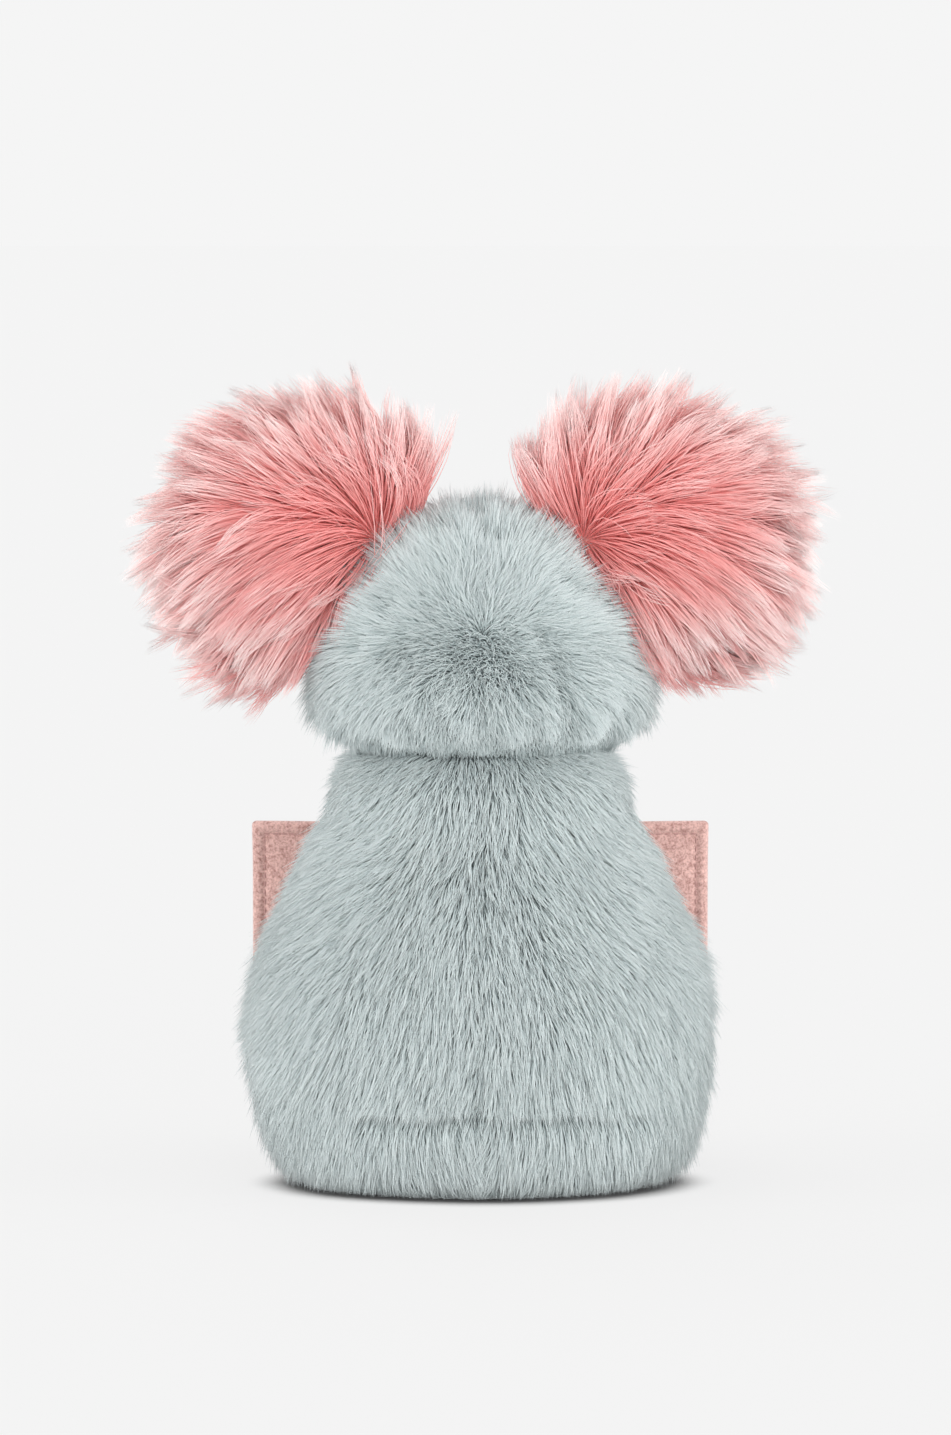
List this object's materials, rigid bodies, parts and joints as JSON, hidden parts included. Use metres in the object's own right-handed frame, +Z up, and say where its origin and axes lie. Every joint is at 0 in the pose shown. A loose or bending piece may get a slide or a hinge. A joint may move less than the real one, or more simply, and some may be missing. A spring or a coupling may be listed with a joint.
{
  "type": "plush hand puppet",
  "caption": "Seated koala glove puppet in faux fur with large long-pile ears, a hand opening in its flat base and an open soft book that lifts off its paws.",
  "frame": {"origin": "middle of the footprint's bounding box, on the surface the puppet stands on", "axes": "+Z up; the face looks towards -Y, so the puppet's own left is +X and its back is +Y"},
  "size_m": [0.241, 0.181, 0.2796],
  "materials": {
    "grey_fur": "matte",
    "pink_fur": "matte",
    "book_suede": "matte",
    "base_suede": "matte",
    "paw_suede": "matte",
    "lining_cloth": "matte",
    "wadding": "matte",
    "page_cloth": "matte",
    "hook_and_loop": "matte",
    "nose_leather": "satin",
    "eye_plastic": "gloss",
    "washer_plastic": "satin",
    "thread": "matte"
  },
  "bodies": {
    "torso": {"back_panel_left": "grey_fur", "back_panel_right": "grey_fur", "belly_panel_left": "grey_fur", "belly_panel_right": "grey_fur", "seat_band_left": "grey_fur", "seat_band_right": "grey_fur", "base_panel": "base_suede", "hand_opening_binding": "lining_cloth", "hand_sleeve": "lining_cloth", "body_stuffing_front": "wadding", "body_stuffing_back": "wadding"},
    "neck": {"neck_ring": "wadding"},
    "head": {"head_back_left": "grey_fur", "head_back_right": "grey_fur", "face_panel": "grey_fur", "head_stuffing": "wadding", "finger_pocket": "lining_cloth", "nose": "nose_leather", "eye_left": "eye_plastic", "eye_right": "eye_plastic", "eye_washer_left": "washer_plastic", "eye_washer_right": "washer_plastic", "mouth_stitch": "thread"},
    "ear_left": {"ear_left_back": "pink_fur", "ear_left_front": "pink_fur", "ear_left_pad": "wadding"},
    "ear_right": {"ear_right_back": "pink_fur", "ear_right_front": "pink_fur", "ear_right_pad": "wadding"},
    "arm_left": {"arm_left_fur": "grey_fur", "arm_left_lining": "lining_cloth", "paw_left_pad": "paw_suede", "paw_left_fastener": "hook_and_loop"},
    "arm_right": {"arm_right_fur": "grey_fur", "arm_right_lining": "lining_cloth", "paw_right_pad": "paw_suede", "paw_right_fastener": "hook_and_loop"},
    "leg_left": {"leg_left_fur": "grey_fur", "leg_left_stuffing": "wadding", "foot_left_pad": "paw_suede"},
    "leg_right": {"leg_right_fur": "grey_fur", "leg_right_stuffing": "wadding", "foot_right_pad": "paw_suede"},
    "book": {"book_spine": "book_suede"},
    "cover_left": {"cover_left_outer": "book_suede", "cover_left_wadding": "wadding", "cover_left_lining": "page_cloth", "cover_left_fastener": "hook_and_loop"},
    "cover_right": {"cover_right_outer": "book_suede", "cover_right_wadding": "wadding", "cover_right_lining": "page_cloth", "cover_right_fastener": "hook_and_loop"},
    "page_left": {"page_left": "page_cloth"},
    "page_right": {"page_right": "page_cloth"}
  },
  "joints": [
    {"name": "neck_turn", "type": "hinge", "parent": "torso", "child": "neck", "pos_m": [0, 0.0236, 0.15], "axis": [0, 0, 1], "range_deg": [-40, 40], "stiffness_Nm_per_rad": 0.4},
    {"name": "head_nod", "type": "hinge", "parent": "neck", "child": "head", "pos_m": [0, 0.0236, 0.15], "axis": [1, 0, 0], "range_deg": [-15, 15], "stiffness_Nm_per_rad": 1.2},
    {"name": "ear_left_flop", "type": "hinge", "parent": "head", "child": "ear_left", "pos_m": [0.045, 0.0236, 0.209], "axis": [0.5394, 0, -0.842], "range_deg": [-18, 18], "stiffness_Nm_per_rad": 0.25},
    {"name": "ear_right_flop", "type": "hinge", "parent": "head", "child": "ear_right", "pos_m": [-0.045, 0.0236, 0.209], "axis": [0.5394, 0, 0.842], "range_deg": [-18, 18], "stiffness_Nm_per_rad": 0.25},
    {"name": "arm_left_swing", "type": "hinge", "parent": "torso", "child": "arm_left", "pos_m": [0.036, -0.0224, 0.096], "axis": [0, 0, 1], "range_deg": [0, 35], "stiffness_Nm_per_rad": 0.08},
    {"name": "arm_right_swing", "type": "hinge", "parent": "torso", "child": "arm_right", "pos_m": [-0.036, -0.0224, 0.096], "axis": [0, 0, -1], "range_deg": [0, 35], "stiffness_Nm_per_rad": 0.08},
    {"name": "leg_left_splay", "type": "hinge", "parent": "torso", "child": "leg_left", "pos_m": [0.03, -0.0264, 0.0147], "axis": [0, 0, 1], "range_deg": [-12, 28], "stiffness_Nm_per_rad": 0.1},
    {"name": "leg_right_splay", "type": "hinge", "parent": "torso", "child": "leg_right", "pos_m": [-0.03, -0.0264, 0.0147], "axis": [0, 0, -1], "range_deg": [-12, 28], "stiffness_Nm_per_rad": 0.1},
    {"name": "book_lift_off", "type": "slide", "parent": "torso", "child": "book", "axis": [0, -1, 0], "range_m": [0, 0.09]},
    {"name": "cover_left_fold", "type": "hinge", "parent": "book", "child": "cover_left", "pos_m": [0.008, -0.058, 0.074], "axis": [0, 0, -1], "range_deg": [0, 78]},
    {"name": "cover_right_fold", "type": "hinge", "parent": "book", "child": "cover_right", "pos_m": [-0.008, -0.058, 0.074], "axis": [0, 0, -1], "range_deg": [-78, 0]},
    {"name": "page_left_turn", "type": "hinge", "parent": "cover_left", "child": "page_left", "pos_m": [0.00859, -0.06328, 0.074], "axis": [0, 0, -1], "range_deg": [0, 60]},
    {"name": "page_right_turn", "type": "hinge", "parent": "cover_right", "child": "page_right", "pos_m": [-0.00859, -0.06328, 0.074], "axis": [0, 0, -1], "range_deg": [-60, 0]}
  ]
}
